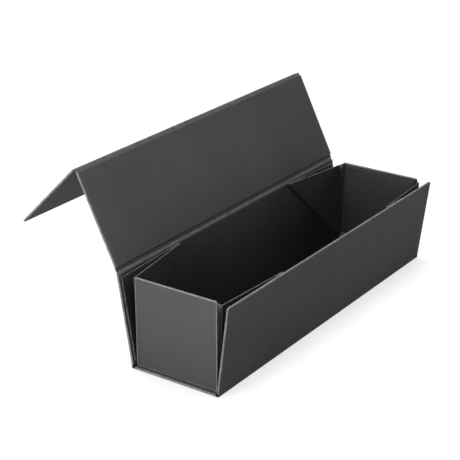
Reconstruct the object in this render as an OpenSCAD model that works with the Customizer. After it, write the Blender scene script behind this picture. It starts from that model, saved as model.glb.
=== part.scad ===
// Folding rigid gift box for one bottle, shown open with its closing flap thrown back.
// Frame: X runs along the box, the front wall is on -Y, the lid hinges on +Y, Z is up.
// The origin is the middle of the underside, on the table.
// Every panel is drawn in its own flat frame: X along the box, Y away from its fold line,
// Z from its outer face inwards. The places modules then carry it to its rest position.

/* [Case] */
// Length of the box, over the ends of the base and the long walls
case_len = 350; // [250:1:450]
// Width of the base between the two fold lines at its long edges, over the paper
case_width = 90; // [70:1:130]
// Height of the back wall, from its lower fold line to the lid fold line
back_height = 88; // [70:1:130]
// Gap between the top edge of the front wall and the closed lid
front_gap = 1.8; // [0.4:0.1:5]
// Gap between the top edge of an end wall and the closed lid
end_gap = 1.2; // [0.4:0.1:5]

/* [Materials] */
// Thickness of the greyboard in every panel
board_t = 1.5; // [1:0.1:3]
// Thickness of one layer of covering paper
paper_t = 0.15; // [0.1:0.05:0.3]
// Thickness of the covered card in the corner gussets
gusset_t = 0.6; // [0.4:0.1:1.2]

/* [Covering] */
// Width of covering paper turned in over the edges of a panel
turn_in = 12; // [8:1:20]
// How far the lining paper stops short of the free edges of a panel
liner_inset = 3; // [2:0.5:6]
// Width of the paper strip that hinges an end wall to the base
end_strip_w = 10; // [6:1:16]

/* [Lid] */
// Clearance between the closed flap and the front wall
flap_clear = 0.2; // [0.1:0.05:0.6]
// Clearance above the table under the closed flap
flap_foot = 1.15; // [0.5:0.05:4]

/* [Ends] */
// How far the end walls stand back from the ends of the box
end_inset = 3; // [1.5:0.5:8]
// Gap between the hinge strip on the base and the lower edge of an end wall
end_lift = 0.7; // [0.4:0.1:1.5]
// Clearance between the side edges of an end wall and the gussets when the walls stand straight
end_clear = 0.45; // [0.1:0.05:1]

/* [Gussets] */
// Gap between the highest point of a gusset, at its crease, and the closed lid
gusset_top_gap = 1.7; // [0.4:0.1:8]
// How much lower the top edge of a gusset is at the end wall than at its crease
gusset_fall = 2.5; // [0:0.5:8]
// Radius of the rounded paper crease between the two panels of a gusset
crease_r = 0.6; // [0.3:0.05:0.65]
// Clearance between the moving gusset panel and what it folds onto
gusset_clear = 0.05; // [0.03:0.01:0.15]
// Gap between the moving gusset panel and the inner face of the end wall
gusset_gap = 0.3; // [0.2:0.05:1]
// How much closer to its wall the moving gusset panel stands than the open corner lets it, in degrees
gusset_ease = 3; // [2:0.5:5]

/* [Closure] */
// Diameter of the closing magnets and of the steel discs that they hold
magnet_d = 12; // [6:1:20]
// Thickness of a magnet
magnet_t = 1; // [0.5:0.1:1.2]
// Thickness of a steel disc
disc_t = 0.5; // [0.3:0.1:1]
// Distance between the two magnets along the flap
magnet_pitch = 180; // [80:5:240]
// Distance from the free edge of the flap to the middle of a magnet
magnet_edge = 14; // [10:1:30]
// Clearance round a magnet or disc in its pocket
pocket_clear = 0.05; // [0.03:0.01:0.2]

/* [Rest position] */
// How far the back wall leans out from upright, in degrees
back_lean = 9.5; // [4:0.5:18]
// How far the front wall leans out from upright, in degrees
front_lean = 7; // [4:0.5:18]
// How far the open lid leans back from upright, in degrees
lid_lean = 26.5; // [20:0.5:60]
// How far the flap is folded back from the line of the lid, in degrees
flap_fold = 108.5; // [60:0.5:150]

/* [Hidden] */
$fn = 48;

black_paper = "#26272b";
black_lining = "#303136";
grey_board = "#6d6a66";
magnet_grey = "#8f9296";
steel_grey = "#a5a8ab";

// A whole panel is covering paper, board, turned-in covering and lining
panel_t = board_t + 3 * paper_t;
// Where a panel folds, covering and lining are glued into one sheet
sheet_t = 2 * paper_t;
// Fold lines run through the middle of that sheet
fold_n = sheet_t / 2;
// Clearance between folded panels
fold_clear = 0.55;
// Distance from a fold line to the edge of the panel beside it
fold_gap = panel_t + fold_clear;
// Clearance between two moving paper edges at a fold line
fold_slit = 0.25;
// Clearance between a hinge strip and the panel that it turns
strip_play = 0.1;

fold_y = case_width / 2 - fold_n;
base_half = case_width / 2 - fold_gap;

// Height of the closed lid's inner face above the lower fold lines
lid_under = back_height + fold_n - panel_t;
front_height = lid_under - front_gap;

// The closed lid reaches from the lid fold line over the front wall and the flap
lid_depth = fold_y + case_width / 2 + flap_clear + panel_t - fold_n;
flap_len = back_height + fold_n - flap_foot;

end_half = case_width / 2 - panel_t - gusset_t - end_clear;
end_floor = panel_t + paper_t + end_lift;
end_top = lid_under + fold_n - end_gap;
end_height = end_top - end_floor;
end_outer_x = case_len / 2 - end_inset;
end_inner_x = end_outer_x - panel_t;

// Gusset outlines are drawn on the wall, in X from the end wall and Y from the fold line
gusset_top = lid_under - gusset_top_gap;
gusset_foot = end_floor;
// Clearance between the round crease and the cut edges of the gusset's two panels
crease_play = 0.15;
crease_cut = (crease_r + crease_play) * sqrt(2);
crease_n = panel_t + gusset_t + 2 * gusset_clear;
crease_len = (gusset_top - gusset_foot) * sqrt(2);
back_open = 2 * atan(tan(back_lean) / sqrt(2)) - gusset_ease;
front_open = 2 * atan(tan(front_lean) / sqrt(2)) - gusset_ease;

magnet_y = flap_len - magnet_edge;
disc_y = back_height - magnet_y;

// ---- places: they carry a panel from its flat frame to its rest position ----

module at_back_wall() {
    translate([0, fold_y, fold_n]) rotate([90 - back_lean, 0, 0]) children();
}

module at_front_wall() {
    mirror([0, 1, 0]) translate([0, fold_y, fold_n]) rotate([90 - front_lean, 0, 0]) children();
}

module at_lid() {
    at_back_wall() translate([0, back_height, 0]) rotate([back_lean - lid_lean, 0, 0]) children();
}

module at_flap() {
    at_lid() translate([0, lid_depth, 0]) rotate([-flap_fold, 0, 0]) children();
}

// An end wall stands upright: its flat X becomes Y, its flat Y becomes Z
module at_far_end() {
    translate([end_inner_x, 0, end_floor]) rotate([90, 0, -90]) translate([0, 0, -panel_t])
        children();
}

module at_end(side) {
    if (side == "far") at_far_end() children();
    else mirror([1, 0, 0]) at_far_end() children();
}

// A corner is named by its end and its wall. It is drawn at the far back and mirrored.
module at_wall_end(side, wall) {
    if (wall == "back") at_back_wall() mirror([side == "near" ? 1 : 0, 0, 0]) children();
    else at_front_wall() mirror([side == "near" ? 1 : 0, 0, 0]) children();
}

// ---- panels, in their flat frame with Z = 0 at the middle of the paper sheet ----

// A plain sheet from X = -half to half, from y0 to y1, and from n0 to n1 above the outer face
module slab(half, y0, y1, n0, n1) {
    translate([-half, y0, n0 - fold_n]) cube([2 * half, y1 - y0, n1 - n0]);
}

// Board between y0 and y1. At a folding edge it leaves room for the lining over its edge.
module panel_board(half, y0, y1) {
    slab(half - paper_t, y0 + paper_t, y1 - paper_t, paper_t, paper_t + board_t);
}

// Covering round the two short edges of a panel, turned in over the board
module turned_ends(half, y0, y1) {
    for (side = [0, 1]) mirror([side, 0, 0]) {
        translate([half - paper_t, y0, -fold_n]) cube([paper_t, y1 - y0, board_t + 2 * paper_t]);
        translate([half - turn_in, y0 + paper_t, paper_t + board_t - fold_n])
            cube([turn_in, y1 - y0 - 2 * paper_t, paper_t]);
    }
}

// Covering over the free edge of a panel at y1, turned in over the board
module turned_edge(half, y1) {
    slab(half, y1 - paper_t, y1, 0, board_t + 2 * paper_t);
    slab(half, y1 - turn_in, y1, paper_t + board_t, board_t + 2 * paper_t);
}

// Covering over the board's edge beside a fold, in the short stretches that the lining leaves
module edge_corners(half, y) {
    for (side = [0, 1]) mirror([side, 0, 0])
        translate([half - liner_inset, y, -fold_n])
            cube([liner_inset, paper_t, board_t + 2 * paper_t]);
}

// Lining over the board's inner face, and down its edges beside the folds named in folds
module panel_liner(half, y0, y1, folds) {
    inner = half - liner_inset;
    top = 2 * paper_t + board_t;
    slab(inner, y0, y1, top, top + paper_t);
    for (y = folds) slab(inner, y, y + paper_t, sheet_t, top);
}

// A disc of diameter d in the board, its outer face at height n
module pocket_disc(d, t, y, n) {
    for (side = [-1, 1]) translate([side * magnet_pitch / 2, y, n - fold_n])
        cylinder(d = d, h = t);
}

// ---- base ----

module base_board() {
    color(grey_board) panel_board(case_len / 2, -base_half, base_half);
}

module base_wrap() {
    edge = fold_y - fold_slit;
    color(black_paper) {
        slab(case_len / 2, -edge, edge, 0, paper_t);
        for (side = [0, 1]) mirror([0, side, 0]) {
            slab(case_len / 2, base_half, edge, 0, sheet_t);
            edge_corners(case_len / 2, base_half - paper_t);
        }
        turned_ends(case_len / 2, -base_half, base_half);
    }
}

module base_liner() {
    color(black_lining)
        panel_liner(case_len / 2, -base_half, base_half, [-base_half, base_half - paper_t]);
}

module place_base() {
    translate([0, 0, fold_n]) children();
}

// ---- front wall, with a free top edge ----

module front_board() {
    color(grey_board) difference() {
        panel_board(case_len / 2, fold_gap, front_height);
        pocket_disc(magnet_d + 2 * pocket_clear, board_t, disc_y, paper_t + board_t - disc_t);
    }
}

module front_wrap() {
    color(black_paper) {
        slab(case_len / 2, fold_gap, front_height, 0, paper_t);
        turned_ends(case_len / 2, fold_gap, front_height);
        turned_edge(case_len / 2, front_height);
        edge_corners(case_len / 2, fold_gap);
    }
}

module front_liner() {
    color(black_lining)
        panel_liner(case_len / 2, fold_gap, front_height - liner_inset, [fold_gap]);
}

module front_steel_discs() {
    color(steel_grey) pocket_disc(magnet_d, disc_t, disc_y, paper_t + board_t - disc_t);
}

// ---- back wall, lid and flap ----

module back_board() {
    color(grey_board) panel_board(case_len / 2, fold_gap, back_height - fold_gap);
}

module back_wrap() {
    top = back_height - fold_gap;
    color(black_paper) {
        slab(case_len / 2, fold_gap, back_height - fold_slit, 0, paper_t);
        slab(case_len / 2, top, back_height - fold_slit, 0, sheet_t);
        turned_ends(case_len / 2, fold_gap, top);
        edge_corners(case_len / 2, fold_gap);
        edge_corners(case_len / 2, top - paper_t);
    }
}

module back_liner() {
    top = back_height - fold_gap;
    color(black_lining) panel_liner(case_len / 2, fold_gap, top, [fold_gap, top - paper_t]);
}

module lid_board() {
    color(grey_board) panel_board(case_len / 2, fold_gap, lid_depth - fold_gap);
}

module lid_wrap() {
    top = lid_depth - fold_gap;
    color(black_paper) {
        slab(case_len / 2, fold_gap, lid_depth - fold_slit, 0, paper_t);
        slab(case_len / 2, top, lid_depth - fold_slit, 0, sheet_t);
        turned_ends(case_len / 2, fold_gap, top);
        edge_corners(case_len / 2, fold_gap);
        edge_corners(case_len / 2, top - paper_t);
    }
}

module lid_liner() {
    top = lid_depth - fold_gap;
    color(black_lining) panel_liner(case_len / 2, fold_gap, top, [fold_gap, top - paper_t]);
}

module flap_board() {
    color(grey_board) difference() {
        panel_board(case_len / 2, fold_gap, flap_len);
        pocket_disc(magnet_d + 2 * pocket_clear, board_t, magnet_y, paper_t + board_t - magnet_t);
    }
}

module flap_wrap() {
    color(black_paper) {
        slab(case_len / 2, fold_gap, flap_len, 0, paper_t);
        turned_ends(case_len / 2, fold_gap, flap_len);
        turned_edge(case_len / 2, flap_len);
        edge_corners(case_len / 2, fold_gap);
    }
}

module flap_liner() {
    color(black_lining) panel_liner(case_len / 2, fold_gap, flap_len - liner_inset, [fold_gap]);
}

module flap_magnets() {
    color(magnet_grey) pocket_disc(magnet_d, magnet_t, magnet_y, paper_t + board_t - magnet_t);
}

// Glued covering and lining from a fold line to the edge of the panel that it turns
module hinge_strip() {
    color(black_paper) slab(case_len / 2, fold_slit, fold_gap - strip_play, 0, sheet_t);
}

// ---- end walls ----

module end_board() {
    color(grey_board) panel_board(end_half, 0, end_height);
}

module end_wrap() {
    color(black_paper) {
        slab(end_half, 0, end_height, 0, paper_t);
        turned_ends(end_half, 0, end_height);
        turned_edge(end_half, end_height);
        mirror([0, 1, 0]) turned_edge(end_half, 0);
    }
}

module end_liner() {
    color(black_lining) panel_liner(end_half, liner_inset, end_height - liner_inset, []);
}

// Paper strip glued to the base along the foot of the far end wall
module end_hinge_strip() {
    color(black_paper) translate([end_outer_x - end_strip_w, -end_half, panel_t])
        cube([end_strip_w, 2 * end_half, paper_t]);
}

// ---- corner gussets, drawn at the far end of a wall ----

// X position of the crease at height y on the wall, and of the gusset's cut edge beside it
function crease_x(y) = end_inner_x - (y - gusset_foot);
function cut_x(y) = crease_x(y) + crease_cut;

// Height of a gusset's sloping top edge at the X position x. It starts from the crease.
apex_x = cut_x(gusset_top);
function top_y(x) = gusset_top - gusset_fall * (x - apex_x) / (end_outer_x - apex_x);

// The panel that is glued to the wall: it fills the corner above the crease
module gusset_web() {
    low = fold_gap + liner_inset;
    color(black_paper) translate([0, 0, panel_t - fold_n]) linear_extrude(gusset_t) polygon([
        [end_outer_x, low],
        [end_outer_x, top_y(end_outer_x)],
        [apex_x, gusset_top],
        [cut_x(low), low]
    ]);
}

// The moving panel, swung open from the web by the angle open
module gusset_panel(open) {
    edge = end_inner_x - gusset_gap;
    low = gusset_foot + gusset_gap + crease_cut;
    color(black_paper)
        translate([end_inner_x, gusset_foot, crease_n - fold_n]) rotate([0, 0, 45])
        rotate([0, -open, 0]) rotate([0, 0, -45]) translate([-end_inner_x, -gusset_foot, 0])
        translate([0, 0, gusset_clear]) linear_extrude(gusset_t) polygon([
            [edge, low],
            [edge, top_y(edge)],
            [apex_x, gusset_top]
        ]);
}

// The rounded paper fold along the crease
module gusset_crease() {
    color(black_paper)
        translate([end_inner_x, gusset_foot, crease_n - fold_n]) rotate([0, 0, 45])
        translate([0, 2 * crease_cut, 0]) rotate([-90, 0, 0])
        cylinder(r = crease_r, h = crease_len - 3 * crease_cut);
}

// ---- nodes ----

place_base() base_board();
place_base() base_wrap();
place_base() base_liner();
at_front_wall() front_board();
at_front_wall() front_wrap();
at_front_wall() front_liner();
at_front_wall() front_steel_discs();
at_back_wall() back_board();
at_back_wall() back_wrap();
at_back_wall() back_liner();
at_lid() lid_board();
at_lid() lid_wrap();
at_lid() lid_liner();
at_flap() flap_board();
at_flap() flap_wrap();
at_flap() flap_liner();
at_flap() flap_magnets();
at_front_wall() hinge_strip();  // front_hinge_strip
at_back_wall() hinge_strip();  // back_hinge_strip
at_lid() hinge_strip();  // lid_hinge_strip
at_flap() hinge_strip();  // flap_hinge_strip
at_end("near") end_board();  // near_end_board
at_end("near") end_wrap();  // near_end_wrap
at_end("near") end_liner();  // near_end_liner
mirror([1, 0, 0]) end_hinge_strip();  // near_end_hinge_strip
at_end("far") end_board();  // far_end_board
at_end("far") end_wrap();  // far_end_wrap
at_end("far") end_liner();  // far_end_liner
end_hinge_strip();  // far_end_hinge_strip
at_wall_end("near", "front") gusset_web();  // near_front_web
at_wall_end("near", "back") gusset_web();  // near_back_web
at_wall_end("far", "front") gusset_web();  // far_front_web
at_wall_end("far", "back") gusset_web();  // far_back_web
at_wall_end("near", "front") gusset_panel(front_open);  // near_front_gusset
at_wall_end("near", "back") gusset_panel(back_open);  // near_back_gusset
at_wall_end("far", "front") gusset_panel(front_open);  // far_front_gusset
at_wall_end("far", "back") gusset_panel(back_open);  // far_back_gusset
at_wall_end("near", "front") gusset_crease();  // near_front_crease
at_wall_end("near", "back") gusset_crease();  // near_back_crease
at_wall_end("far", "front") gusset_crease();  // far_front_crease
at_wall_end("far", "back") gusset_crease();  // far_back_crease
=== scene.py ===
"""Looks of a folding rigid gift box in dark grey paper, open, with its closing flap thrown back.

Sizes are in millimetres, and the first block repeats the CAD source. Each panel is drawn in its
own flat frame: x along the box, v away from its fold line, n from its outer face inwards.
Lamps, camera, floor and the sizes inside materials are in metres.
"""

import math

import bmesh
import bpy
from mathutils import Matrix, Vector


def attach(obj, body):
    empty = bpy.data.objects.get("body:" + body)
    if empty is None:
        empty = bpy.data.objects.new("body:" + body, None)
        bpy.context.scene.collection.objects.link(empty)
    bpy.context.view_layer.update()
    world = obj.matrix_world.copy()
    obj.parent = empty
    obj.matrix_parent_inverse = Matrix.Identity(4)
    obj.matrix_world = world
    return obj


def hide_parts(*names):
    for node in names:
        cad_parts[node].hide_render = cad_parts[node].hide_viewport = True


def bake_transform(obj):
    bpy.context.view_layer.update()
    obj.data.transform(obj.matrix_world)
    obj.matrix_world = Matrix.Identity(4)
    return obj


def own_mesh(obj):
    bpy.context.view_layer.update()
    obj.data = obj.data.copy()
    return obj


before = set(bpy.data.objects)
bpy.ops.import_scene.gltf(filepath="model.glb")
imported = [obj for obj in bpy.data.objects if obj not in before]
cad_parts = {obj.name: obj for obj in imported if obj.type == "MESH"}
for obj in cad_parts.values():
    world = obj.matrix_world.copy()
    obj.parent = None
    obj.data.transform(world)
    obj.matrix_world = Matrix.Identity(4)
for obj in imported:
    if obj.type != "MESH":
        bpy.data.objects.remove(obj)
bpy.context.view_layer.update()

# ---- sizes, in millimetres and degrees, as in the CAD source ----

METRES = 0.001
CASE_LEN = 350.0
CASE_WIDTH = 90.0
BACK_HEIGHT = 88.0
FRONT_GAP = 1.8
END_GAP = 1.2
BOARD_T = 1.5
PAPER_T = 0.15
GUSSET_T = 0.6
LINER_INSET = 3.0
END_STRIP_W = 10.0
FLAP_CLEAR = 0.2
FLAP_FOOT = 1.15
END_INSET = 3.0
END_LIFT = 0.7
END_CLEAR = 0.45
GUSSET_TOP_GAP = 1.7
GUSSET_FALL = 2.5
CREASE_R = 0.6
CREASE_PLAY = 0.15
GUSSET_CLEAR = 0.05
GUSSET_GAP = 0.3
GUSSET_EASE = 3.0
MAGNET_D = 12.0
MAGNET_T = 1.0
DISC_T = 0.5
MAGNET_PITCH = 180.0
MAGNET_EDGE = 14.0
POCKET_CLEAR = 0.05
BACK_LEAN = 9.5
FRONT_LEAN = 7.0
LID_LEAN = 26.5
FLAP_FOLD = 108.5
FOLD_CLEAR = 0.55

HALF = CASE_LEN / 2
PANEL_T = BOARD_T + 3 * PAPER_T
SLAB_T = BOARD_T + 2 * PAPER_T
SHEET_T = 2 * PAPER_T
FOLD_N = SHEET_T / 2
FOLD_GAP = PANEL_T + FOLD_CLEAR
FOLD_Y = CASE_WIDTH / 2 - FOLD_N
BASE_HALF = CASE_WIDTH / 2 - FOLD_GAP
LID_UNDER = BACK_HEIGHT + FOLD_N - PANEL_T
FRONT_HEIGHT = LID_UNDER - FRONT_GAP
LID_DEPTH = FOLD_Y + CASE_WIDTH / 2 + FLAP_CLEAR + PANEL_T - FOLD_N
FLAP_LEN = BACK_HEIGHT + FOLD_N - FLAP_FOOT
END_HALF = CASE_WIDTH / 2 - PANEL_T - GUSSET_T - END_CLEAR
END_FLOOR = PANEL_T + PAPER_T + END_LIFT
END_HEIGHT = LID_UNDER + FOLD_N - END_GAP - END_FLOOR
END_OUTER_X = HALF - END_INSET
END_INNER_X = END_OUTER_X - PANEL_T
GUSSET_TOP = LID_UNDER - GUSSET_TOP_GAP
GUSSET_FOOT = END_FLOOR
CREASE_CUT = (CREASE_R + CREASE_PLAY) * math.sqrt(2)
CREASE_N = PANEL_T + GUSSET_T + 2 * GUSSET_CLEAR
CREASE_LEN = (GUSSET_TOP - GUSSET_FOOT) * math.sqrt(2)
MAGNET_Y = FLAP_LEN - MAGNET_EDGE
DISC_Y = BACK_HEIGHT - MAGNET_Y

# Rounding that the CAD leaves out
EDGE_R = 0.45
FOLD_FLANGE_R = 0.1
BOARD_EDGE_R = 0.25
WEB_EDGE_R = 0.22
FRONT_CORNER_R = 2.4
FLAP_CORNER_R = 2.0
FOLD_CORNER_R = 1.0
BASE_CORNER_R = 0.6
END_FOOT_R = 1.2
END_TOP_R = 1.5
LEAST_CORNER_R = 0.04
LEAST_BOARD_CORNER_R = 0.2
ARC_STEPS = 6
QUARTER_TURN = (0, 22.5, 45, 67.5, 90)
RIM = 0.7  # width of the ring between a rounded edge and the flat middle of its face
EDGE_BAND = 0.5  # width of the band beside a sharp edge in which its mark, for rubbed paper and painted highlight, fades
TURN_BAND = 0.6  # the same beside the lining's rounded turn
BOARD_ROOM = 0.05  # between a board's long edges and the covering
SHELF_CLEAR = 0.02  # between the lining's turned-down edge and the covering's flange
STRIP_INSET = 0.02  # how much shorter than the box a fold strip is at each end
MERGE = 0.002  # points nearer to each other than this become one

# The mark of a surface is 1 on a rubbed edge, 0 where the paper is as new, and below 0 deep in a
# fold. Above 0 it lightens the paper, both for rubbed paper and as a painted highlight on edges
# that catch the light; below 0 it darkens the paper nearly to black, a painted shade in the fold
# grooves.
RUBBED_AND_LIT = 1.0
WORN_AND_LIT_END = 0.6
TURN_WORN_AND_LIT = 0.25
INNER_TURN_WORN_AND_LIT = 0.2
OUTER_SHEET_WORN_AND_LIT = 0.1
FRESH = 0.0
# painted shade: the paper is darkened nearly to black where its mark is this low, deep in a fold
PAINTED_GROOVE_SHADE = -0.9


def gusset_open(lean):
    """Angle between a gusset's two panels when its wall leans out by lean degrees."""
    return 2 * math.degrees(math.atan(math.tan(math.radians(lean)) / math.sqrt(2))) - GUSSET_EASE


# ---- places: they carry a panel from its flat frame to its rest position ----


def turn(degrees, axis):
    return Matrix.Rotation(math.radians(degrees), 4, axis)


def shift(x, y, z):
    return Matrix.Translation((x, y, z))


MIRROR_X = Matrix.Diagonal((-1, 1, 1, 1))
MIRROR_Y = Matrix.Diagonal((1, -1, 1, 1))
AT_BASE = shift(0, 0, FOLD_N)
AT_BACK = shift(0, FOLD_Y, FOLD_N) @ turn(90 - BACK_LEAN, "X")
AT_FRONT = MIRROR_Y @ shift(0, FOLD_Y, FOLD_N) @ turn(90 - FRONT_LEAN, "X")
AT_LID = AT_BACK @ shift(0, BACK_HEIGHT, 0) @ turn(BACK_LEAN - LID_LEAN, "X")
AT_FLAP = AT_LID @ shift(0, LID_DEPTH, 0) @ turn(-FLAP_FOLD, "X")
AT_FAR_END = (
    shift(END_INNER_X, 0, END_FLOOR) @ turn(-90, "Z") @ turn(90, "X") @ shift(0, 0, -PANEL_T)
)
AT_NEAR_END = MIRROR_X @ AT_FAR_END


def place(matrix, x, v, n):
    """World point in metres of the point x, v, n of a panel's flat frame."""
    return (matrix @ Vector((x, v, n - FOLD_N))) * METRES


# ---- mesh helpers ----


def make_mesh(name, points, faces, wear_and_light, matrix, material):
    """A closed smooth mesh from points in a panel's flat frame, with the mark of each point:
    lighter for rubbed paper and painted highlight, darker for painted shade in fold grooves.
    """
    data = bpy.data.meshes.new(name)
    data.from_pydata([place(matrix, *p) for p in points], [], faces)
    attribute = data.attributes.new("wear_and_light", "FLOAT", "POINT")
    attribute.data.foreach_set("value", wear_and_light)
    work = bmesh.new()
    work.from_mesh(data)
    bmesh.ops.remove_doubles(work, verts=work.verts, dist=MERGE * METRES)
    bmesh.ops.dissolve_degenerate(work, edges=work.edges, dist=MERGE * METRES)
    bmesh.ops.recalc_face_normals(work, faces=work.faces)
    work.to_mesh(data)
    work.free()
    data.polygons.foreach_set("use_smooth", [True] * len(data.polygons))
    data.materials.append(material)
    made = bpy.data.objects.new(name, data)
    bpy.context.scene.collection.objects.link(made)
    weighted = made.modifiers.new("weighted normals", "WEIGHTED_NORMAL")
    weighted.keep_sharp = True
    weighted.weight = 80
    return made


def meet(p, d, q, e):
    """Where the line through p along d meets the line through q along e."""
    across = d.x * e.y - d.y * e.x
    gap = q - p
    return p + d * ((gap.x * e.y - gap.y * e.x) / across)


def rounded(corners, radii, insets):
    """Outline of a convex polygon, its edge i moved in by insets[i] and its corners rounded.

    The corners run counter-clockwise and edge i leaves corner i."""
    lines = []
    for i, corner in enumerate(corners):
        d = (corners[(i + 1) % len(corners)] - corner).normalized()
        inward = Vector((-d.y, d.x))
        lines.append((corner + inward * insets[i], d, inward))
    outline = []
    for i in range(len(corners)):
        p, d, inward = lines[i - 1]
        q, e, onward = lines[i]
        r = max(LEAST_CORNER_R, radii[i] - max(insets[i - 1], insets[i]))
        centre = meet(p + inward * r, d, q + onward * r, e)
        first = math.atan2(-inward.y, -inward.x)
        swing = -d.angle_signed(e)
        for k in range(ARC_STEPS + 1):
            a = first + swing * k / ARC_STEPS
            outline.append(centre + Vector((math.cos(a), math.sin(a))) * r)
    return outline


def round_wear_and_light(edges):
    """Mark of each point of a rounded outline, from the marks of its edges (rubbed paper, painted
    highlight, painted shade in fold grooves).
    """
    worn_and_lit = []
    for i, after in enumerate(edges):
        before = edges[i - 1]
        worn_and_lit += [before + (after - before) * k / ARC_STEPS for k in range(ARC_STEPS + 1)]
    return worn_and_lit


def joined_rings(count, size):
    """Faces that join count rings of size points each, and cap the first and the last."""
    faces = []
    for k in range(count - 1):
        for i in range(size):
            j = (i + 1) % size
            faces.append((k * size + i, k * size + j, (k + 1) * size + j, (k + 1) * size + i))
    faces.append(tuple(range(size - 1, -1, -1)))
    last = (count - 1) * size
    faces.append(tuple(range(last, last + size)))
    return faces


def stacked(name, levels, matrix, material):
    """A closed body from levels of (outline, height n, mark of each edge), joined and capped; the
    marks stand for rubbed paper, painted highlight and painted shade in fold grooves.
    """
    points, wear_and_light = [], []
    for outline, n, worn_and_lit in levels:
        points += [(p.x, p.y, n) for p in outline]
        wear_and_light += round_wear_and_light(worn_and_lit)
    faces = joined_rings(len(levels), len(levels[0][0]))
    return make_mesh(name, points, faces, wear_and_light, matrix, material)


def ease(n, n0, n1, r):
    """How far a rounded edge of radius r between n0 and n1 lies in at height n."""
    depth = min(n - n0, n1 - n, r)
    return r - math.sqrt(max(0.0, r * r - (r - depth) ** 2))


def arc_heights(n0, n1, r):
    """Heights of the rings of a plate from n0 to n1 with edges of radius r."""
    low = [n0 + r * (1 - math.cos(math.radians(a))) for a in QUARTER_TURN]
    return low + [n0 + n1 - h for h in reversed(low)]


def plate(name, corners, radii, n0, n1, r, matrix, material, worn_and_lit=None):
    """A flat plate with rounded corners and edges. worn_and_lit gives the mark of each edge, for
    rubbed paper and painted highlight.
    """
    corners = [Vector(c) for c in corners]
    fresh = [FRESH] * len(corners)
    levels = []
    for n in arc_heights(n0, n1, r):
        inset = ease(n, n0, n1, r)
        levels.append((rounded(corners, radii, [inset] * len(corners)), n, worn_and_lit or fresh))
    middle = rounded(corners, radii, [r + RIM] * len(corners))
    levels = [(middle, n0, fresh)] + levels + [(middle, n1, fresh)]
    return stacked(name, levels, matrix, material)


def cover(name, half, v0, v1, radii, flanges, flange_worn_and_lit, side_worn_and_lit, matrix, material):
    """Covering paper round a board from v0 to v1, with paper flanges beyond its folding edges.

    flanges gives how far the paper runs on past v0 and past v1, or 0 at a free edge,
    flange_worn_and_lit the mark of the inner side of those flanges, and side_worn_and_lit the mark
    of the inner half of the two short edges: above 0 lighter for rubbed paper and painted
    highlight, below 0 painted shade in fold grooves."""
    corners = [Vector(c) for c in ((-half, v0), (half, v0), (half, v1), (-half, v1))]
    corner_radii = [radii[0], radii[0], radii[1], radii[1]]
    rounding = arc_heights(0, SLAB_T, EDGE_R)
    in_flange = [(n, True) for n in rounding if n < SHEET_T] + [(SHEET_T, True)]
    above_flange = [(SHEET_T, False)] + [(n, False) for n in rounding if n > SHEET_T]
    levels = []
    for n, has_flange in in_flange + above_flange:
        inner_half = n > SLAB_T / 2
        insets = [ease(n, 0, SLAB_T, EDGE_R)] * 4
        short_worn = side_worn_and_lit if inner_half else RUBBED_AND_LIT
        worn_and_lit = [RUBBED_AND_LIT, short_worn, RUBBED_AND_LIT, short_worn]
        for end, edge in enumerate((0, 2)):
            if not flanges[end]:
                continue
            if has_flange:
                insets[edge] = ease(n, 0, SHEET_T, FOLD_FLANGE_R) - flanges[end]
                worn_and_lit[edge] = flange_worn_and_lit[end] if n > SHEET_T / 2 else OUTER_SHEET_WORN_AND_LIT
            elif inner_half:
                worn_and_lit[edge] = INNER_TURN_WORN_AND_LIT
            else:  # this side faces the fold, and at v0 it lies deep in it
                insets[edge] = 0.0
                # at v0 this side is darkened as painted shade in the fold groove
                worn_and_lit[edge] = flange_worn_and_lit[1] if end else PAINTED_GROOVE_SHADE
        levels.append((rounded(corners, corner_radii, insets), n, worn_and_lit))
    side = EDGE_R + RIM
    outer = [side - flanges[0], side, side - flanges[1], side]
    levels.insert(0, (rounded(corners, corner_radii, outer), 0.0, [FRESH] * 4))
    turned_in = [FRESH, min(FRESH, side_worn_and_lit), FRESH, min(FRESH, side_worn_and_lit)]
    levels.append((rounded(corners, corner_radii, [side] * 4), SLAB_T, turned_in))
    return stacked(name, levels, matrix, material)


def extruded(name, section, x0, x1, matrix, material, end_worn_and_lit=WORN_AND_LIT_END):
    """A closed section of (v, n, wear) points drawn out along x from x0 to x1."""
    stations = [(x0, end_worn_and_lit), (x0 + EDGE_BAND, FRESH), (x1 - EDGE_BAND, FRESH), (x1, end_worn_and_lit)]
    points, wear_and_light = [], []
    for x, least_worn_and_lit in stations:
        points += [(x, v, n) for v, n, _ in section]
        wear_and_light += [max(worn_and_lit, least_worn_and_lit) for _, _, worn_and_lit in section]
    faces = joined_rings(len(stations), len(section))
    return make_mesh(name, points, faces, wear_and_light, matrix, material)


def thick_path(path, t):
    """Closed section of a sheet of thickness t below and beside the path of its upper face."""
    outer, inner = [], []
    for i, (v, n, worn_and_lit) in enumerate(path):
        before = Vector(path[max(0, i - 1)][:2])
        after = Vector(path[min(len(path) - 1, i + 1)][:2])
        d = (after - before).normalized()
        outer.append((v, n, worn_and_lit))
        inner.append((v + d.y * t, n - d.x * t, worn_and_lit))
    return outer + inner[::-1]


def arc_point(v, n, r, degrees, worn_and_lit):
    """Point of a section on the arc of radius r round v, n, with its mark for rubbed paper,
    painted highlight and painted shade.
    """
    a = math.radians(degrees)
    return (v + r * math.cos(a), n + r * math.sin(a), worn_and_lit)


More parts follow.
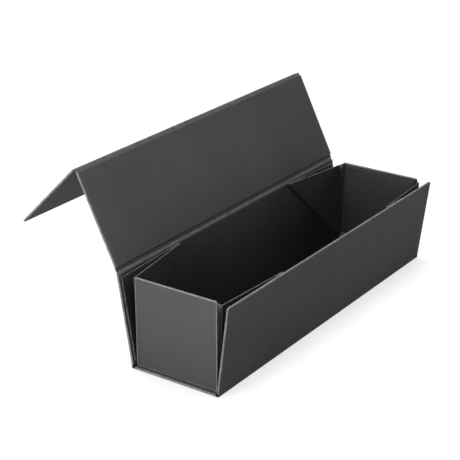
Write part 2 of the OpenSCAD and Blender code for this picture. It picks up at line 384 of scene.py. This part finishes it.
def lining(name, half, v0, v1, folds, fold_worn_and_lit, end_worn_and_lit, matrix, material):
    """Lining paper over the board's inner face, turned down over its folding edges.

    fold_worn_and_lit is the mark of its rounded turn and of its side at v1: above 0 lighter for
    rubbed paper and painted highlight, below 0 painted shade in fold grooves."""
    turn_r = EDGE_R + PAPER_T
    foot = SHEET_T + SHELF_CLEAR
    path = []
    if folds[0]:
        # the lining's turned-down edge at v0 is darkened as painted shade in the fold groove
        path += [(v0, foot, PAINTED_GROOVE_SHADE), (v0, SHEET_T + EDGE_BAND, PAINTED_GROOVE_SHADE / 2)]
        for a in QUARTER_TURN:
            path.append(arc_point(v0 + turn_r, PANEL_T - turn_r, turn_r, 180 - a, TURN_WORN_AND_LIT))
        path.append((v0 + turn_r + TURN_BAND, PANEL_T, FRESH))
    else:
        path += [(v0, PANEL_T, WORN_AND_LIT_END), (v0 + EDGE_BAND, PANEL_T, FRESH)]
    if folds[1]:
        path.append((v1 - turn_r - TURN_BAND, PANEL_T, FRESH))
        for a in reversed(QUARTER_TURN):
            path.append(arc_point(v1 - turn_r, PANEL_T - turn_r, turn_r, a, fold_worn_and_lit[0]))
        path += [(v1, SHEET_T + EDGE_BAND, fold_worn_and_lit[1]), (v1, foot, fold_worn_and_lit[1])]
    else:
        path += [(v1 - EDGE_BAND, PANEL_T, FRESH), (v1, PANEL_T, WORN_AND_LIT_END)]
    section = thick_path(path, PAPER_T)
    reach = half - LINER_INSET
    return extruded(name, section, -reach, reach, matrix, material, end_worn_and_lit)


def strip(name, v0, v1, matrix, material):
    """Folding paper between two panels, from v0 to v1, in narrow bands."""
    r = FOLD_FLANGE_R
    bands = 12
    along = [v0 + r + (v1 - v0 - 2 * r) * k / bands for k in range(bands + 1)]
    low = [(v, 0.0, OUTER_SHEET_WORN_AND_LIT) for v in along]
    # the strip's inner face darkens towards v1 as painted shade in the fold groove
    high = [(v, SHEET_T, PAINTED_GROOVE_SHADE * (v - v0) / (v1 - v0)) for v in reversed(along)]
    nose = [arc_point(v1 - r, SHEET_T / 2, r, a, FRESH) for a in (-45, 0, 45)]
    tail = [arc_point(v0 + r, SHEET_T / 2, r, a, FRESH) for a in (135, 180, 225)]
    reach = HALF - STRIP_INSET
    return extruded(name, low + nose + high + tail, -reach, reach, matrix, material)


def bead(name, start, end, r, matrix, material, worn_and_lit):
    """A paper fold's round bead from start to end, points of a flat frame, with domed ends."""
    sides, dome_rings, first_angle = 16, 4, 8
    start, end = Vector(start), Vector(end)
    along = (end - start).normalized()
    side = along.orthogonal().normalized()
    other = along.cross(side)
    rings = []
    for k in range(dome_rings):
        a = math.radians(first_angle + (90 - first_angle) * k / (dome_rings - 1))
        rings.append((start - along * (r * math.cos(a)), r * math.sin(a)))
    rings += [(end + (start - p), ring_r) for p, ring_r in reversed(rings)]
    points = []
    for centre, ring_r in rings:
        for i in range(sides):
            a = 2 * math.pi * i / sides
            points.append(tuple(centre + (side * math.cos(a) + other * math.sin(a)) * ring_r))
    faces = joined_rings(len(rings), sides)
    return make_mesh(name, points, faces, [worn_and_lit] * len(points), matrix, material)


def ribbon(name, line_a, line_b, t, material):
    """Paper of thickness t, in millimetres, from line_a to line_b, both world lines in metres."""
    across_steps, along_steps = 6, 10
    most_bow = 0.35
    # the joining paper's top edge is lighter, for rubbed paper and painted highlight, and the rest
    # is darkened as painted shade in the corner
    top_worn_and_lit, rest_groove_shade = 0.6, 0.7 * PAINTED_GROOVE_SHADE
    points, wear_and_light, faces = [], [], []
    for face in (-1, 1):
        for i in range(along_steps + 1):
            p = line_a[0].lerp(line_a[1], i / along_steps)
            q = line_b[0].lerp(line_b[1], i / along_steps)
            normal = (q - p).cross(line_a[1] - line_a[0]).normalized()
            for k in range(across_steps + 1):
                s = k / across_steps
                bow = most_bow * math.sin(math.pi * s) * i / along_steps
                at = p.lerp(q, s) + normal * METRES * (face * t / 2 + bow)
                points.append(tuple(at / METRES))
                wear_and_light.append(top_worn_and_lit if i == along_steps else rest_groove_shade)
    row = across_steps + 1
    sheet = row * (along_steps + 1)
    for i in range(along_steps):
        for k in range(across_steps):
            a = i * row + k
            faces.append((a, a + 1, a + row + 1, a + row))
            faces.append((sheet + a, sheet + a + row, sheet + a + row + 1, sheet + a + 1))
    rim = list(range(row))
    rim += [i * row + across_steps for i in range(1, along_steps + 1)]
    rim += [along_steps * row + k for k in range(across_steps - 1, -1, -1)]
    rim += [i * row for i in range(along_steps - 1, 0, -1)]
    for i, a in enumerate(rim):
        b = rim[(i + 1) % len(rim)]
        faces.append((a, b, sheet + b, sheet + a))
    return make_mesh(name, points, faces, wear_and_light, shift(0, 0, FOLD_N), material)


def drill(obj, d, t, y, n, matrix):
    """Cuts two round pockets of diameter d and depth t, for magnets or discs, from height n on."""
    height = t + 1  # so that the cutter stands out of the board
    for side in (-1, 1):
        work = bmesh.new()
        bmesh.ops.create_cone(
            work, cap_ends=True, segments=48, radius1=d / 2, radius2=d / 2, depth=height
        )
        data = bpy.data.meshes.new("pocket")
        work.to_mesh(data)
        work.free()
        centre = shift(side * MAGNET_PITCH / 2, y, n + height / 2 - FOLD_N)
        data.transform(Matrix.Scale(METRES, 4) @ matrix @ centre)
        cutter = bpy.data.objects.new("pocket", data)
        bpy.context.scene.collection.objects.link(cutter)
        cut = obj.modifiers.new("pocket", "BOOLEAN")
        cut.operation = "DIFFERENCE"
        cut.solver = "EXACT"
        cut.object = cutter
        bpy.context.view_layer.objects.active = obj
        while obj.modifiers[0] != cut:
            bpy.ops.object.modifier_move_up(modifier=cut.name)
        bpy.ops.object.modifier_apply(modifier=cut.name)
        bpy.data.objects.remove(cutter)


def finish_piece(obj, body, slot, *replaced):
    """Seats a finished piece on its CAD body, if it has one, and hides the CAD nodes that it
    replaces. slot is not used.
    """
    if body:
        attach(obj, body)
    if replaced:
        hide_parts(*replaced)
    return obj


# ---- materials: their sizes are in metres ----

MIDDLE = (0.3, 0.7)  # most of a noise's values lie between these
# Colours of painted shade: deep in the fold grooves, and where the paper is shut in by other
# surfaces
PAINTED_GROOVE_SHADE_COLOUR = (0.006, 0.006, 0.006)
PAINTED_RECESS_SHADE_COLOUR = (0.004, 0.004, 0.004)
OPENNESS_REACH = 0.14  # how far off a surface still casts painted shade on another


def new_material(name):
    """A new material, its node tree and its shader."""
    material = bpy.data.materials.new(name)
    material.use_nodes = True
    return material, material.node_tree, material.node_tree.nodes["Principled BSDF"]


def node(tree, kind, **inputs):
    """A new node with the given input values. An underscore stands for a space."""
    made = tree.nodes.new(kind)
    for key, value in inputs.items():
        made.inputs[key.replace("_", " ")].default_value = value
    return made


def noise(tree, vector, scale, detail, roughness=0.5):
    """Noise texture, as a number."""
    made = node(tree, "ShaderNodeTexNoise", Scale=scale, Detail=detail, Roughness=roughness)
    tree.links.new(vector, made.inputs["Vector"])
    return made.outputs["Fac"]


def blend_colour(tree, factor, a, b):
    """Mix node whose A and B are colours or other colour outputs."""
    mix = tree.nodes.new("ShaderNodeMix")
    mix.data_type = "RGBA"
    tree.links.new(factor, mix.inputs["Factor"])
    for key, value in ((6, a), (7, b)):
        if isinstance(value, tuple):
            mix.inputs[key].default_value = (*value, 1)
        else:
            tree.links.new(value, mix.inputs[key])
    return mix.outputs[2]


def math_node(tree, operation, a, b):
    """Result of an operation on two numbers or number outputs."""
    made = tree.nodes.new("ShaderNodeMath")
    made.operation = operation
    for i, value in enumerate((a, b)):
        if isinstance(value, (int, float)):
            made.inputs[i].default_value = value
        else:
            tree.links.new(value, made.inputs[i])
    return made.outputs[0]


def span(tree, value, low, high, to_low, to_high):
    """Carries a value from the range low to high over to the range to_low to to_high."""
    made = tree.nodes.new("ShaderNodeMapRange")
    tree.links.new(value, made.inputs["Value"])
    for key, number in (
        ("From Min", low),
        ("From Max", high),
        ("To Min", to_low),
        ("To Max", to_high),
    ):
        made.inputs[key].default_value = number
    return made.outputs["Result"]


def bump(tree, height, strength, distance, below=None):
    """Normal roughened by a height, over the normal below."""
    made = node(tree, "ShaderNodeBump", Strength=strength, Distance=distance)
    tree.links.new(height, made.inputs["Height"])
    if below:
        tree.links.new(below, made.inputs["Normal"])
    return made.outputs["Normal"]


def fibre_vector(tree, stretch):
    """Object coordinates, plain and drawn out along the box as paper fibres lie."""
    coord = tree.nodes.new("ShaderNodeTexCoord")
    mapping = node(tree, "ShaderNodeMapping", Scale=stretch)
    tree.links.new(coord.outputs["Object"], mapping.inputs["Vector"])
    return coord.outputs["Object"], mapping.outputs["Vector"]


def paper(name, dark, light, worn_and_lit, rough, grain_strength, specular, shut, open_air, recess_shade):
    """Dyed, finely fibred paper, mottled, lighter on rubbed edges and as a painted highlight on
    edges that catch the light, and darkened as painted shade in its fold grooves.

    recess_shade is how far it darkens, a painted shade, where other surfaces shut it in, from the
    openness open_air down to shut."""
    material, tree, shader = new_material(name)
    plain, fibred = fibre_vector(tree, stretch=(0.35, 1, 1))
    cloud = noise(tree, plain, scale=14, detail=3)
    grain = noise(tree, fibred, scale=900, detail=4, roughness=0.6)
    fibre = noise(tree, fibred, scale=260, detail=5, roughness=0.65)
    scuff = noise(tree, plain, scale=170, detail=4, roughness=0.6)
    swell = noise(tree, plain, scale=16, detail=2)

    shade = math_node(tree, "MULTIPLY", cloud, 0.6)
    shade = math_node(tree, "ADD", shade, math_node(tree, "MULTIPLY", fibre, 0.4))
    base = blend_colour(tree, span(tree, shade, *MIDDLE, 0, 1), dark, light)
    wear_and_light = tree.nodes.new("ShaderNodeAttribute")
    wear_and_light.attribute_name = "wear_and_light"
    # points marked below 0 are darkened towards the groove colour: painted shade in the fold
    # grooves
    groove_shade = span(tree, wear_and_light.outputs["Fac"], 0, PAINTED_GROOVE_SHADE, 0, 1)
    base = blend_colour(tree, groove_shade, base, PAINTED_GROOVE_SHADE_COLOUR)
    # an occlusion node darkens the paper where other surfaces close it in: painted shade inside
    # the box and low on the walls near the floor
    openness = node(tree, "ShaderNodeAmbientOcclusion", Distance=OPENNESS_REACH)
    openness.samples = 8
    recess_shade_mask = span(tree, openness.outputs["AO"], shut, open_air, recess_shade, 0)
    base = blend_colour(tree, recess_shade_mask, base, PAINTED_RECESS_SHADE_COLOUR)
    # the lighter marks, for rubbed paper and painted highlight, fade where that painted shade is
    # deep
    mask = math_node(
        tree, "MULTIPLY", wear_and_light.outputs["Fac"], span(tree, scuff, 0.3, 0.6, 0.4, 1)
    )
    mask = math_node(tree, "MULTIPLY", mask, span(tree, recess_shade_mask, 0, 1, 1, 0.55))
    base = blend_colour(tree, math_node(tree, "MAXIMUM", mask, 0.0), base, worn_and_lit)
    tree.links.new(base, shader.inputs["Base Color"])

    dullness = span(tree, fibre, *MIDDLE, rough - 0.06, rough + 0.06)
    tree.links.new(dullness, shader.inputs["Roughness"])
    shader.inputs["Specular IOR Level"].default_value = specular
    normal = bump(tree, swell, strength=0.35, distance=0.002)
    normal = bump(tree, fibre, grain_strength, distance=0.00012, below=normal)
    normal = bump(tree, grain, grain_strength, distance=0.00006, below=normal)
    tree.links.new(normal, shader.inputs["Normal"])
    return material


def greyboard(name):
    """Recycled greyboard with darker and lighter flecks and a felted surface."""
    dark, light, fleck_colour = (0.15, 0.145, 0.135), (0.2, 0.19, 0.175), (0.36, 0.34, 0.31)
    material, tree, shader = new_material(name)
    plain, fibred = fibre_vector(tree, stretch=(0.5, 1, 1))
    fleck = noise(tree, fibred, scale=420, detail=6, roughness=0.7)
    cloud = noise(tree, plain, scale=30, detail=3)
    base = blend_colour(tree, span(tree, cloud, *MIDDLE, 0, 1), dark, light)
    flecked = blend_colour(tree, span(tree, fleck, 0.58, 0.7, 0, 0.6), base, fleck_colour)
    tree.links.new(flecked, shader.inputs["Base Color"])
    tree.links.new(span(tree, fleck, *MIDDLE, 0.8, 0.95), shader.inputs["Roughness"])
    felt = bump(tree, fleck, strength=0.6, distance=0.0001)
    tree.links.new(felt, shader.inputs["Normal"])
    return material


def plated(name, dark, light, rough):
    """Plated metal with a fine grain and dull spots."""
    material, tree, shader = new_material(name)
    plain, _ = fibre_vector(tree, stretch=(1, 1, 1))
    spots = noise(tree, plain, scale=350, detail=4)
    fine = noise(tree, plain, scale=2600, detail=3)
    base = blend_colour(tree, span(tree, spots, 0.35, 0.65, 0, 1), dark, light)
    tree.links.new(base, shader.inputs["Base Color"])
    dullness = span(tree, spots, *MIDDLE, rough - 0.07, rough + 0.1)
    tree.links.new(dullness, shader.inputs["Roughness"])
    shader.inputs["Metallic"].default_value = 1.0
    grain = bump(tree, fine, strength=0.3, distance=0.00003)
    tree.links.new(grain, shader.inputs["Normal"])
    return material


# Each paper has painted shade where it is shut in (shut, open_air and recess_shade): on the
# covering low near the floor and in corners, on the lining inside the box
COVERING = paper(
    "covering paper",
    dark=(0.048, 0.0485, 0.051),
    light=(0.062, 0.0625, 0.065),
    worn_and_lit=(0.175, 0.175, 0.18),
    rough=0.68,
    grain_strength=0.35,
    specular=0.13,
    shut=0.15,
    open_air=0.8,
    recess_shade=0.75,
)
LINING_LOOK = {
    "dark": (0.054, 0.0545, 0.056),
    "light": (0.070, 0.0705, 0.072),
    "worn_and_lit": (0.14, 0.14, 0.143),
    "rough": 0.72,
    "grain_strength": 0.45,
    "specular": 0.05,
}
LINING = paper("lining paper", **LINING_LOOK, shut=0.45, open_air=0.95, recess_shade=0.9)
# the end walls' lining: the same paper with a little less painted shade where it is shut in
END_LINING_LESS_SHADED = paper("end lining paper, less painted shade", **LINING_LOOK, shut=0.35, open_air=0.95, recess_shade=0.88)
WEB = paper(
    "gusset paper",
    dark=(0.042, 0.0425, 0.044),
    light=(0.055, 0.0555, 0.057),
    worn_and_lit=(0.19, 0.19, 0.195),
    rough=0.7,
    grain_strength=0.4,
    specular=0.05,
    shut=0.4,
    open_air=0.92,
    recess_shade=0.7,
)
BOARD = greyboard("greyboard")
MAGNET = plated("nickel plating", (0.42, 0.42, 0.40), (0.56, 0.55, 0.53), 0.3)
STEEL = plated("zinc plated steel", (0.46, 0.47, 0.49), (0.6, 0.61, 0.63), 0.36)

# ---- panels ----


def panel(
    part, body, matrix, half, v0, v1, folds, flanges, radii,
    flange_worn_and_lit=(PAINTED_GROOVE_SHADE, FRESH), fold_worn_and_lit=(TURN_WORN_AND_LIT, PAINTED_GROOVE_SHADE), side_worn_and_lit=RUBBED_AND_LIT,
    lining_paper=LINING,
):
    """Board, covering and lining of one panel. v0 and v1 are its outer edges over the paper.

    folds says which of the two edges fold, and radii are the corners' at v0 and at v1. Flanges and
    marks (lighter for rubbed paper and painted highlight, darker for painted shade in fold
    grooves) are those of cover and lining."""
    slab0 = v0 + (PAPER_T if folds[0] else 0)
    slab1 = v1 - (PAPER_T if folds[1] else 0)
    room = PAPER_T + BOARD_ROOM
    board_half = half - PAPER_T
    board_corners = [
        (-board_half, v0 + room),
        (board_half, v0 + room),
        (board_half, v1 - room),
        (-board_half, v1 - room),
    ]
    board_radii = [
        max(LEAST_BOARD_CORNER_R, r - PAPER_T) for r in (radii[0], radii[0], radii[1], radii[1])
    ]
    board = plate(
        part + "_greyboard", board_corners, board_radii, PAPER_T, PAPER_T + BOARD_T,
        BOARD_EDGE_R, matrix, BOARD,
    )
    finish_piece(board, body, "board", part + "_board")
    wrap = cover(
        part + "_covering", half, slab0, slab1, radii, flanges, flange_worn_and_lit, side_worn_and_lit, matrix,
        COVERING,
    )
    finish_piece(wrap, body, "covering", part + "_wrap")
    inset0 = v0 if folds[0] else v0 + LINER_INSET
    inset1 = v1 if folds[1] else v1 - LINER_INSET
    inside = lining(
        part + "_lining", half, inset0, inset1, folds, fold_worn_and_lit, min(WORN_AND_LIT_END, side_worn_and_lit),
        matrix, lining_paper,
    )
    finish_piece(inside, body, "lining", part + "_liner")
    return board


STRIP_END = 1.9  # where a hinge strip meets the covering of the panel that it turns
STRIP_LAP = 0.02  # how far it goes on past that place
NEAR_FOLD = 0.1  # how near to a fold line the paper flange of the panel before it reaches
FLANGE = FOLD_GAP + PAPER_T - NEAR_FOLD
LIP = FOLD_GAP + PAPER_T - STRIP_END
LID_ROOM = 0.3  # how much shorter the flange under the lid's fold is, so that the lid can shut
FOLD_CORNERS = (FOLD_CORNER_R, FOLD_CORNER_R)

panel(
    "base", "base", AT_BASE, HALF, -BASE_HALF, BASE_HALF, folds=(True, True),
    flanges=(FLANGE, FLANGE), radii=(BASE_CORNER_R, BASE_CORNER_R),
)
# The back wall's top flange and lining turn are lightened strongly, a painted highlight on the top
# edge where it catches the light, and the lid's a little; their flanges at v0 are darkened as
# painted shade in the fold groove
panel(
    "back", "back_wall", AT_BACK, HALF, FOLD_GAP, BACK_HEIGHT - FOLD_GAP, folds=(True, True),
    flanges=(LIP, FLANGE - LID_ROOM), radii=FOLD_CORNERS, flange_worn_and_lit=(PAINTED_GROOVE_SHADE, 1.0),
    fold_worn_and_lit=(0.35, 0.9),
)
panel(
    "lid", "lid", AT_LID, HALF, FOLD_GAP, LID_DEPTH - FOLD_GAP, folds=(True, True),
    flanges=(LIP, FLANGE), radii=FOLD_CORNERS, flange_worn_and_lit=(PAINTED_GROOVE_SHADE, 0.5), fold_worn_and_lit=(0.3, 0.4),
)
front_core = panel(
    "front", "front_wall", AT_FRONT, HALF, FOLD_GAP, FRONT_HEIGHT, folds=(True, False),
    flanges=(LIP, 0), radii=(FOLD_CORNER_R, FRONT_CORNER_R),
)
flap_core = panel(
    "flap", "flap", AT_FLAP, HALF, FOLD_GAP, FLAP_LEN, folds=(True, False), flanges=(LIP, 0),
    radii=(FOLD_CORNER_R, FLAP_CORNER_R),
)
# the inner half of the end walls' side edges, their turned-in margins and the lining's ends are
# darkened as painted shade
for side, matrix in (("near", AT_NEAR_END), ("far", AT_FAR_END)):
    panel(
        side + "_end", side + "_end", matrix, END_HALF, 0, END_HEIGHT, folds=(False, False),
        flanges=(0, 0), radii=(END_FOOT_R, END_TOP_R), side_worn_and_lit=PAINTED_GROOVE_SHADE,
        lining_paper=END_LINING_LESS_SHADED,
    )

POCKET_D = MAGNET_D + 2 * POCKET_CLEAR
BOARD_INNER = PAPER_T + BOARD_T
drill(front_core, POCKET_D, DISC_T, DISC_Y, BOARD_INNER - DISC_T, AT_FRONT)
drill(flap_core, POCKET_D, MAGNET_T, MAGNET_Y, BOARD_INNER - MAGNET_T, AT_FLAP)

# ---- folds between the panels ----

# Each fold's bead is lightened, for rubbed paper and a painted highlight where it catches the
# light, the flap's most; the lid's bead is darkened instead as painted shade in its groove
for part, hinge, child, matrix, bead_r, bead_worn_and_lit in (
    ("back", "back_hinge", "back_wall", AT_BACK, 0.15, 0.8),
    ("front", "front_hinge", "front_wall", AT_FRONT, 0.15, 0.8),
    ("lid", "lid_hinge", "lid", AT_LID, 0.35, PAINTED_GROOVE_SHADE),
    ("flap", "flap_hinge", "flap", AT_FLAP, 0.4, 1.0),
):
    paper_strip = strip(part + "_fold_strip", 0.0, STRIP_END + STRIP_LAP, matrix, COVERING)
    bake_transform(paper_strip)
    finish_piece(paper_strip, None, "covering", part + "_hinge_strip")
    round_fold = bead(
        part + "_fold",
        (-HALF + bead_r, 0, 0),
        (HALF - bead_r, 0, 0),
        bead_r,
        matrix @ shift(0, 0, FOLD_N),
        COVERING,
        bead_worn_and_lit,
    )
    finish_piece(round_fold, hinge, "covering")

# ---- end hinges: a strip glued to the base and turned up the inner face of the end wall ----

HINGE_T = 0.12
HINGE_ROOM = 0.15  # between the end wall's fold line and the strip that stands beside it
HINGE_UP = 6.0  # how far the strip runs up the end wall

for side, mirror in (("near", MIRROR_X), ("far", Matrix.Identity(4))):
    fold_x = END_INNER_X + FOLD_N
    up_x = fold_x - HINGE_ROOM
    high = PANEL_T + PAPER_T
    # Points (x, height, mark) along the base, round the turn and up the end wall; the mark
    # lightens the paper for rubbed paper and painted highlight
    path = [
        (END_INNER_X - END_STRIP_W + PANEL_T, high, 0.5),
        (fold_x - 1.2, high, 0.0),
        (fold_x - 0.6, high, 0.0),
        (fold_x - 0.3, high + 0.03, 0.2),
        (up_x, high + 0.15, 0.3),
        (up_x, high + 0.4, 0.3),
        (up_x, END_FLOOR, 0.2),
        (up_x, END_FLOOR + 0.5, 0.0),
        (up_x, END_FLOOR + HINGE_UP, 0.4),
    ]
    section = [(v, n + FOLD_N, worn_and_lit) for v, n, worn_and_lit in thick_path(path, HINGE_T)]
    hinge = extruded(
        side + "_end_fold_strip",
        section,
        -END_HALF,
        END_HALF,
        mirror @ turn(-90, "Z"),
        COVERING,
    )
    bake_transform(hinge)
    finish_piece(hinge, None, "covering", side + "_end_hinge_strip")

# ---- corner gussets ----

LOW_WEB = FOLD_GAP + LINER_INSET
WEB_RADII = (0.5, 1.0, 1.0, 0.6)
FOLDING_RADII = (0.6, 0.6, 0.6)

# The paper that joins a folding panel to the end wall, from the wall's side edge to the panel
SEAM_X = END_INNER_X + FOLD_N + 0.9
SEAM_Y = END_HALF - 0.1
SEAM_FOOT = END_FLOOR + 1.5
SEAM_TOP = END_FLOOR + END_HEIGHT - 1.2
BRIDGE_T = 0.3
BRIDGE_LAP = 0.4  # how far it lies inside the panel's edges
BRIDGE_LIFT = 1.5  # how far above the panel's low corner it starts


def cut_x(y):
    """X position of a gusset's cut edge beside its crease, at height y on the wall."""
    return END_INNER_X - (y - GUSSET_FOOT) + CREASE_CUT


APEX_X = cut_x(GUSSET_TOP)


def top_y(x):
    """Height of a gusset's sloping top edge at the position x."""
    return GUSSET_TOP - GUSSET_FALL * (x - APEX_X) / (END_OUTER_X - APEX_X)


for side in ("near", "far"):
    for wall, wall_matrix, lean in (("back", AT_BACK, BACK_LEAN), ("front", AT_FRONT, FRONT_LEAN)):
        corner = side + "_" + wall
        matrix = wall_matrix @ MIRROR_X if side == "near" else wall_matrix
        web_corners = [
            (cut_x(LOW_WEB), LOW_WEB),
            (END_OUTER_X, LOW_WEB),
            (END_OUTER_X, top_y(END_OUTER_X)),
            (APEX_X, GUSSET_TOP),
        ]
        web = plate(
            corner + "_glued_web", web_corners, WEB_RADII, PANEL_T,
            PANEL_T + GUSSET_T, WEB_EDGE_R, matrix, WEB, (0.2, 0.9, 0.9, 0.0),
        )
        finish_piece(web, wall + "_wall", "covering", corner + "_web")
        edge = END_INNER_X - GUSSET_GAP
        low = GUSSET_FOOT + GUSSET_GAP + CREASE_CUT
        swing = (
            shift(END_INNER_X, GUSSET_FOOT, CREASE_N - FOLD_N)
            @ turn(45, "Z")
            @ turn(-gusset_open(lean), "Y")
            @ turn(-45, "Z")
            @ shift(-END_INNER_X, -GUSSET_FOOT, GUSSET_CLEAR + FOLD_N)
        )
        panel_corners = [(edge, low), (edge, top_y(edge)), (APEX_X, GUSSET_TOP)]
        moving = plate(
            corner + "_folding_web", panel_corners, FOLDING_RADII, 0, GUSSET_T, WEB_EDGE_R,
            matrix @ swing, WEB, (0.0, 0.9, 0.0),
        )
        finish_piece(moving, corner + "_gusset", "covering", corner + "_gusset")
        crease_at = shift(END_INNER_X, GUSSET_FOOT, CREASE_N) @ turn(45, "Z")
        crease = bead(
            corner + "_web_fold",
            (0, 2 * CREASE_CUT + CREASE_R, 0),
            (0, CREASE_LEN - CREASE_CUT - CREASE_R, 0),
            CREASE_R,
            matrix @ crease_at,
            WEB,
            FRESH,
        )
        finish_piece(crease, corner + "_fold", "covering", corner + "_crease")

        # The joining paper, bowed in the middle, rides on the end wall
        way_x = -1 if side == "near" else 1
        way_y = 1 if wall == "back" else -1
        from_wall = [
            Vector((way_x * SEAM_X, way_y * SEAM_Y, z)) * METRES for z in (SEAM_FOOT, SEAM_TOP)
        ]
        mid = GUSSET_T / 2 + FOLD_N
        to_panel = [
            place(matrix @ swing, edge - BRIDGE_LAP, y, mid)
            for y in (low + BRIDGE_LIFT, top_y(edge) - BRIDGE_LAP)
        ]
        bridge = ribbon(corner + "_corner_web", from_wall, to_panel, BRIDGE_T, WEB)
        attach(bridge, side + "_end")
        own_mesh(bridge)

# ---- carried-over CAD nodes ----

for name, material in (("flap_magnets", MAGNET), ("front_steel_discs", STEEL)):
    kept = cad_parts[name]
    kept.data.materials.clear()
    kept.data.materials.append(material)

# ---- camera ----

CAMERA_AZIMUTH = -55.29
CAMERA_ELEVATION = 22.62
CAMERA_DISTANCE = 1.22249
CAMERA_AIM = Vector((-0.0641, 0.020, 0.09611))
FOCAL_PIXELS = 1388.04
IMAGE_WIDTH = 460
SENSOR = 36.0


def direction(azimuth, elevation):
    """Unit vector from what is looked at or lit back to the camera or lamp. Azimuth 0 is -Y."""
    a, e = math.radians(azimuth), math.radians(elevation)
    return Vector((math.sin(a) * math.cos(e), -math.cos(a) * math.cos(e), math.sin(e)))


def point_at(obj, aim, outward, distance):
    """Puts a camera or lamp into the scene, at a distance outward from its aim."""
    obj.location = aim + outward * distance
    obj.rotation_mode = "QUATERNION"
    obj.rotation_quaternion = (-outward).to_track_quat("-Z", "Y")
    bpy.context.scene.collection.objects.link(obj)


camera_data = bpy.data.cameras.new("camera")
camera_data.sensor_width = SENSOR
camera_data.lens = FOCAL_PIXELS * SENSOR / IMAGE_WIDTH
camera_data.clip_start, camera_data.clip_end = 0.05, 30
camera = bpy.data.objects.new("camera", camera_data)
point_at(camera, CAMERA_AIM, direction(CAMERA_AZIMUTH, CAMERA_ELEVATION), CAMERA_DISTANCE)
bpy.context.scene.camera = camera

# ---- floor, light and world ----


def seen_directly(tree):
    """1 for camera, glossy and transmission rays, 0 for the rays that only light things."""
    path = tree.nodes.new("ShaderNodeLightPath")
    seen = math_node(tree, "MAXIMUM", path.outputs["Is Camera Ray"], path.outputs["Is Glossy Ray"])
    return math_node(tree, "MAXIMUM", seen, path.outputs["Is Transmission Ray"])


def output_by_ray(tree, kind, lighting, seen):
    """Output node that gives seen to the rays that look and lighting to those that only light."""
    choose = tree.nodes.new("ShaderNodeMixShader")
    tree.links.new(seen_directly(tree), choose.inputs["Fac"])
    tree.links.new(lighting.outputs[0], choose.inputs[1])
    tree.links.new(seen.outputs[0], choose.inputs[2])
    out = tree.nodes.new(kind)
    tree.links.new(choose.outputs[0], out.inputs["Surface"])


WHITE = (1, 1, 1, 1)
SEEN_FLOOR = (0.12, 0.12, 0.12, 1)
LIGHTING_FLOOR = (0.42, 0.42, 0.42, 1)
FLOOR_SIZE = 40
FLOOR_DROP = 0.00002
SHADOW_REACH = 0.05
SOFT_WORLD = 0.02

floor_material = bpy.data.materials.new("floor")
floor_material.use_nodes = True
tree = floor_material.node_tree
tree.nodes.clear()
bright = node(tree, "ShaderNodeBsdfDiffuse", Color=SEEN_FLOOR)
glow = node(tree, "ShaderNodeEmission", Color=WHITE)
# The floor's glow is dimmed near the box by an occlusion node: a painted contact shadow on the
# white floor
openness = node(tree, "ShaderNodeAmbientOcclusion", Distance=SHADOW_REACH)
strength = span(tree, openness.outputs["AO"], 0.45, 0.85, to_low=0.68, to_high=0.96)
tree.links.new(strength, glow.inputs["Strength"])
both = tree.nodes.new("ShaderNodeAddShader")
tree.links.new(bright.outputs[0], both.inputs[0])
tree.links.new(glow.outputs[0], both.inputs[1])
dull = node(tree, "ShaderNodeBsdfDiffuse", Color=LIGHTING_FLOOR)
output_by_ray(tree, "ShaderNodeOutputMaterial", lighting=dull, seen=both)

bpy.ops.mesh.primitive_plane_add(size=FLOOR_SIZE, location=(0, 0, -FLOOR_DROP))
floor = bpy.context.object
floor.name = "floor"
floor.data.materials.append(floor_material)

world = bpy.data.worlds.new("studio")
bpy.context.scene.world = world
world.use_nodes = True
tree = world.node_tree
tree.nodes.clear()
white = node(tree, "ShaderNodeBackground", Color=WHITE, Strength=1.0)
soft = node(tree, "ShaderNodeBackground", Color=WHITE, Strength=SOFT_WORLD)
output_by_ray(tree, "ShaderNodeOutputWorld", lighting=soft, seen=white)

LAMP_AIM = Vector((0, 0, 0.06))


def soft_box(name, azimuth, elevation, distance, size, power):
    """A square area light that faces the middle of the box."""
    data = bpy.data.lights.new(name, "AREA")
    data.shape = "SQUARE"
    data.size = size
    data.energy = power
    lamp = bpy.data.objects.new(name, data)
    point_at(lamp, LAMP_AIM, direction(azimuth, elevation), distance)


soft_box("left softbox", azimuth=-98, elevation=30, distance=1.8, size=0.9, power=41)
soft_box("front softbox", azimuth=-50, elevation=50, distance=1.1, size=0.5, power=7)
soft_box("back softbox", azimuth=160, elevation=32, distance=1.8, size=1.0, power=15)
soft_box("right softbox", azimuth=72, elevation=30, distance=1.8, size=0.8, power=11)

bpy.context.scene.view_settings.view_transform = "Standard"
